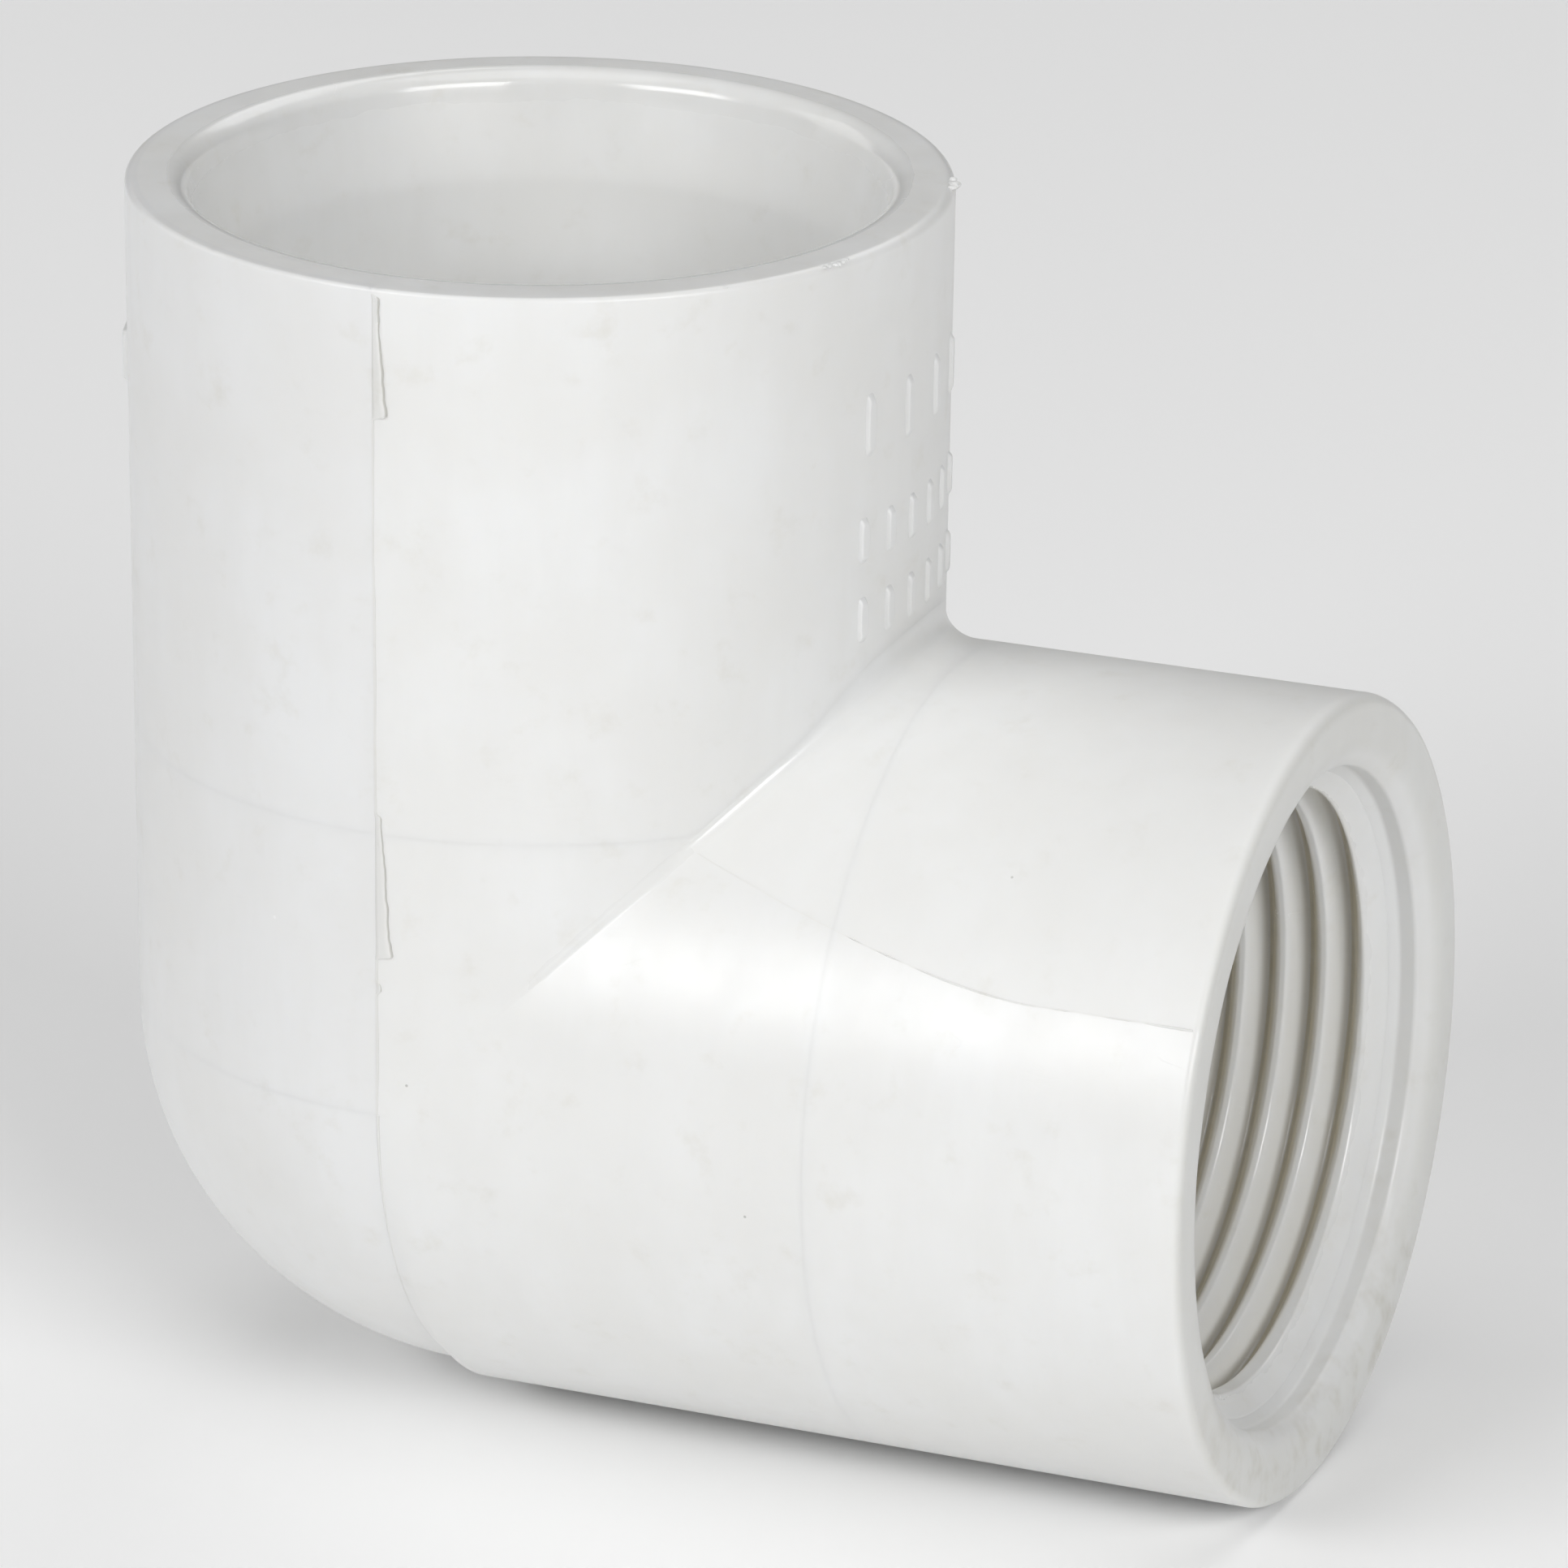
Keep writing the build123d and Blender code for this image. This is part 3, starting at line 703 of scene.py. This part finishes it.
# the groove that runs into the smooth land fades out over the -Y wall
turns_out = np.round(phase)
fading = smooth(thread_turn[None], 2.2, 3.9)
lead = np.where(turns_out >= 1, 1.0, np.where(turns_out >= 0, fading, 0.0))
groove = (1 - rounded) * (1 - lead)
lead_in = lead_in_radius(HUB_X - thread_x)
to_land = smooth(HUB_X - thread_x, RING_DEPTH, LAND_DEPTH)
over_crest = lead_in - (LAND_R - crest) * to_land - crest
ridge = crest + (over_crest + np.hypot(over_crest, CREST_SOFT)) / 2
fade_in = smooth(thread_x, LINER_END_X, LINER_END_X + GROOVE_FADE)
inside = ridge + (root - ridge) * groove * fade_in
inside = np.where(thread_x <= LINER_END_X + 1e-6, BEHIND_THREAD_R, inside)
liner = Shell()
liner.grid(about_x(inside, thread_turn[None], thread_x))
back_x = np.linspace(LINER_END_X, liner_x, 7)[:, None]
liner_back_r = LINER_BACK_R - LINER_GAP
liner.grid(about_x(liner_back_r, thread_turn[None], back_x))
for row, x in ((0, liner_x), (-1, LINER_END_X)):
    liner.grid(np.stack([about_x(inside[row], thread_turn, x), about_x(liner_back_r, thread_turn, x)]))
liner.build("thread_skin", thread_paint, ["pipe_thread"], sharp=60)


# ------------------------------------------------------------------ flash on the parting lines
# cross-sections of a ribbon: (across, up), where up below 0 is sunk into the skin
UPRIGHT = ((-0.6, -1.0), (-0.42, 0.0), (-0.2, 0.75), (0.0, 1.0), (0.16, 0.8), (0.42, 0.0), (0.6, -1.0))
LEANING = ((-0.5, -1.0), (-0.45, 0.0), (-0.25, 0.3), (0.05, 0.6), (0.34, 1.0), (0.44, 0.75), (0.5, -1.0))


def ribbon(shell, path, normal, height, width, shift, section=UPRIGHT, sink=0.05):
    """A thin raised line along a path whose sides sink into the skin."""
    path, normal = np.asarray(path), np.asarray(normal)
    along = np.gradient(path, axis=0)
    along /= np.linalg.norm(along, axis=1)[:, None]
    aside = np.cross(along, normal)
    rows = []
    for across, up in section:
        rise = np.where(up < 0, -sink, up * height)
        rows.append(path + aside * (across * width + shift)[:, None] + normal * rise[:, None])
    rows.append(rows[0])
    shell.grid(np.stack(rows))
    for end in (0, -1):
        ends = np.stack([row[end] for row in rows[: len(section)]])
        shell.grid(np.stack([ends, np.repeat(ends.mean(0)[None], len(section), 0)]))


def bumps(t, places):
    """A sum of soft bumps, each (centre, half length, size), along a coordinate."""
    return sum(size * np.exp(-(((t - centre) / reach) ** 4)) for centre, reach, size in places)


count = 420  # stations along each flash line
FLASH_TOP_Y = cad_size("socket_flash")[1].y
PEELS = (  # top and bottom height, width at the top and at the bottom, how far it stands up
    (SOCKET_TOP - 0.3, 36.9, 0.35, 0.95, 0.19),
    (16.2, 8.4, 0.35, 1.1, 0.15),
    (7.2, 6.5, 0.25, 0.3, 0.08),
)
upright = Shell()
for side in (-1, 1):
    h = np.linspace(0, SOCKET_TOP - 0.3, count)
    ragged = wave_noise(count, 11 + side, (23, 51, 97, 140))
    slow = wave_noise(count, 51 + side, (5, 11, 19))
    height = 0.012 + 0.016 * np.clip(slow, 0, 1)
    width = 0.13 + 0.04 * slow
    shift = 0.03 * slow
    for top, bottom, wide_top, wide_bottom, stand in PEELS:
        along = np.clip((top - h) / (top - bottom), 0, 1)
        inside_peel = smooth(h, bottom, bottom + 0.25) * (1 - smooth(h, top - 0.2, top))
        wide = (wide_top + (wide_bottom - wide_top) * along**1.4) * (1 + 0.22 * ragged)
        height = height + inside_peel * (stand * (0.55 + 0.45 * along) * (1 + 0.3 * ragged) - 0.01)
        width = width + inside_peel * (wide - 0.13)
        shift = shift + inside_peel * wide * 0.42
    height = np.clip(height, 0.006, FLASH_TOP_Y - 0.004 - socket_radius(h))
    path = np.stack([0 * h, side * socket_radius(h), h], -1)
    normal = np.tile((0.0, float(side), 0.0), (count, 1))
    ribbon(upright, path, normal, height, np.maximum(width, 0.07), -side * shift, LEANING)
upright.build("upright_flash", flash_paint, ["socket_flash"], sharp=60)

heel_line = Shell()
a = np.linspace(math.pi, 2 * math.pi, count)
noise = wave_noise(count, 31, (7, 19, 41))
path = np.stack([0 * a, ROOT_R * np.cos(a), HEEL_DROP * np.sin(a)], -1)
normal = np.stack([0 * a, np.cos(a) / ROOT_R, np.sin(a) / HEEL_DROP], -1)
normal /= np.linalg.norm(normal, axis=1)[:, None]
ribbon(heel_line, path, normal, 0.025 + 0.02 * np.clip(noise, 0, 1), 0.15 + 0.05 * noise, 0.02 * noise - 0.05)
heel_line.build("heel_flash_line", flash_paint, ["heel_flash"], sharp=60)


def seam_angle(x):
    climb = np.clip((SEAM_LEVEL_X - x) / (SEAM_LEVEL_X - SEAM_VALLEY_X), 0, 2)
    return np.radians(SEAM_ANGLE + SEAM_RISE * climb**SEAM_CURVE)


hub_line = Shell()
for side in (-1, 1):
    x = np.linspace(14.9, HUB_X - FACE_EDGE, count)
    noise = wave_noise(count, 53 + side, (9, 21, 57))
    angle = seam_angle(x)
    outward = np.stack([0 * x, side * np.cos(angle), np.sin(angle)], -1)
    path = outward * hub_radius(x)[:, None] + np.stack([x, 0 * x, 0 * x], -1)
    teeth = bumps(x, ((26.2, 0.5, 0.05), (24.2, 0.35, 0.04), (28.3, 0.4, 0.035), (41.6, 1.0, 0.03)))
    clear = 0.12 + 0.88 * smooth(x, 27.0, 30.0)
    rise = (0.012 + 0.012 * np.clip(noise, 0, 1)) * clear * smooth(noise, -0.75, -0.1) + 0.001 + teeth
    ribbon(hub_line, path, outward, rise, (0.1 + 0.04 * noise) * (0.5 + 0.5 * clear) + teeth, 0.02 * noise)
hub_line.build("hub_flash_line", flash_paint, ["hub_flash"], sharp=60)


# ------------------------------------------------------------------ raised marks
def raised_mark(shell, bearing, height, wide, tall, proud, soft, corner_power=4.0, sink=0.04):
    """A soft-edged raised patch that follows the socket's wall; bearing in degrees from +X."""
    u = np.linspace(-1, 1, 25)[None]
    v = np.linspace(-1, 1, 33)[:, None]
    edge = (np.abs(u) ** corner_power + np.abs(v) ** corner_power) ** (1 / corner_power)
    margin = (1 - edge) * min(wide, tall) / 2
    rise = -sink + (proud + sink) * smooth(margin, 0.0, soft)
    z = height + v * tall / 2 + 0 * u
    angle = math.radians(bearing) + u * wide / 2 / socket_radius(height) + 0 * v
    top = about_z(socket_radius(z) + rise, angle, z)
    shell.grid(top)
    back = about_z(socket_radius(z) - sink - 0.02, angle, z)
    shell.grid(back)
    for end in (0, -1):
        shell.grid(np.stack([top[end], back[end]]))
    for end in (0, -1):
        shell.grid(np.stack([top[:, end], back[:, end]]))


BAR_WIDTH, BAR_PROUD, BAR_SOFT = 0.8, 0.215, 0.14
BAR_ROWS = (  # the CAD node, the visual piece's name, how many bars
    ("raised_bars_upper", "marks_upper", 4),
    ("raised_bars_middle", "marks_middle", 6),
    ("raised_bars_lower", "marks_lower", 6),
)
for node, piece, bars in BAR_ROWS:
    low_corner, high_corner = cad_size(node)
    row_height = (low_corner.z + high_corner.z) / 2 - AXIS_Z
    tall = high_corner.z - low_corner.z
    spread = math.degrees(math.asin((high_corner.y - BAR_WIDTH / 2) / socket_radius(row_height)))
    marks = Shell()
    for bearing in np.linspace(-spread, spread, bars):
        raised_mark(marks, bearing, row_height, BAR_WIDTH, tall, BAR_PROUD, BAR_SOFT)
    marks.build(piece, mark_paint, [node], sharp=60)

pad_low, pad_high = cad_size("raised_pad")
pad_middle = (pad_low + pad_high) / 2
PAD_WIDTH, PAD_PROUD, PAD_SOFT = 3.0, 0.3, 0.16
pad_bearing = math.degrees(math.atan2(pad_middle.y, pad_middle.x))
pad_tall = pad_high.z - pad_low.z
pad = Shell()
pad_height = pad_middle.z - AXIS_Z
raised_mark(pad, pad_bearing, pad_height, PAD_WIDTH, pad_tall, PAD_PROUD, PAD_SOFT, corner_power=9.0)
pad.build("raised_pad_skin", mark_paint, ["raised_pad"], sharp=60)

# ------------------------------------------------------------------ floor, light and camera
floor_z = cad_box[0][2]
FLOOR = 6.0  # metres from the middle to each edge
FLOOR_GLOW = 0.03
WORLD_GLOW = 0.01
floor_mesh = bpy.data.meshes.new("floor")
floor_mesh.from_pydata(
    [(-FLOOR, -FLOOR, floor_z), (FLOOR, -FLOOR, floor_z), (FLOOR, FLOOR, floor_z), (-FLOOR, FLOOR, floor_z)],
    [],
    [(0, 1, 2, 3)],
)
floor = bpy.data.objects.new("floor", floor_mesh)
bpy.context.scene.collection.objects.link(floor)
sweep = bpy.data.materials.new("pale_floor")
sweep.use_nodes = True
surface = sweep.node_tree.nodes["Principled BSDF"]
surface.inputs["Base Color"].default_value = (0.96, 0.96, 0.96, 1)
surface.inputs["Roughness"].default_value = 0.9
surface.inputs["Specular IOR Level"].default_value = 0.1
surface.inputs["Emission Color"].default_value = (1, 1, 1, 1)
surface.inputs["Emission Strength"].default_value = FLOOR_GLOW
floor_mesh.materials.append(sweep)


def softbox(name, azimuth, elevation, distance, wide, tall, power, aim):
    """An area light; azimuth in degrees from -Y toward +X."""
    lamp = bpy.data.lights.new(name, "AREA")
    lamp.shape = "RECTANGLE"
    lamp.size, lamp.size_y, lamp.energy = wide, tall, power
    a, e = math.radians(azimuth), math.radians(elevation)
    way = Vector((math.sin(a) * math.cos(e), -math.cos(a) * math.cos(e), math.sin(e)))
    thing = bpy.data.objects.new(name, lamp)
    thing.location = aim + way * distance
    thing.rotation_euler = way.to_track_quat("Z", "Y").to_euler()
    bpy.context.scene.collection.objects.link(thing)


middle = (Vector(cad_box[0]) + Vector(cad_box[1])) / 2
LIGHTS = (  # name, azimuth, elevation, distance, width and height in metres, watts
    ("left_softbox", -26, 29, 1.5, 0.85, 0.5, 9.3),
    ("right_softbox", 52, 27, 1.5, 0.85, 0.5, 10.6),
    ("top_softbox", 20, 80, 1.6, 1.4, 1.4, 7.2),
    ("side_softbox", -95, 20, 1.6, 1.0, 1.0, 4.2),
    ("back_softbox", 170, 45, 1.6, 1.2, 0.8, 5.2),
)
for name, azimuth, elevation, distance, wide, tall, power in LIGHTS:
    softbox(name, azimuth, elevation, distance, wide, tall, power, middle)

world = bpy.data.worlds.new("studio")
world.use_nodes = True
world.node_tree.nodes["Background"].inputs["Color"].default_value = (1.0, 1.0, 1.0, 1)
world.node_tree.nodes["Background"].inputs["Strength"].default_value = WORLD_GLOW
bpy.context.scene.world = world
bpy.context.scene.view_settings.view_transform = "Standard"

# fitted to the photograph's outline
CAMERA_PLACE = Vector((0.228658, -0.535091, 0.208861))
CAMERA_AXES = ((0.92657, 0.37600, 0.00899), (-0.13713, 0.31546, 0.93898), (0.35022, -0.87127, 0.34385))
camera = bpy.data.cameras.new("camera")
CAMERA_LENS = 276.7
camera.lens, camera.sensor_width, camera.clip_start = CAMERA_LENS, 36.0, 0.01
eye = bpy.data.objects.new("camera", camera)
eye.matrix_world = Matrix.Translation(CAMERA_PLACE) @ Matrix(CAMERA_AXES).transposed().to_4x4()
bpy.context.scene.collection.objects.link(eye)
bpy.context.scene.camera = eye
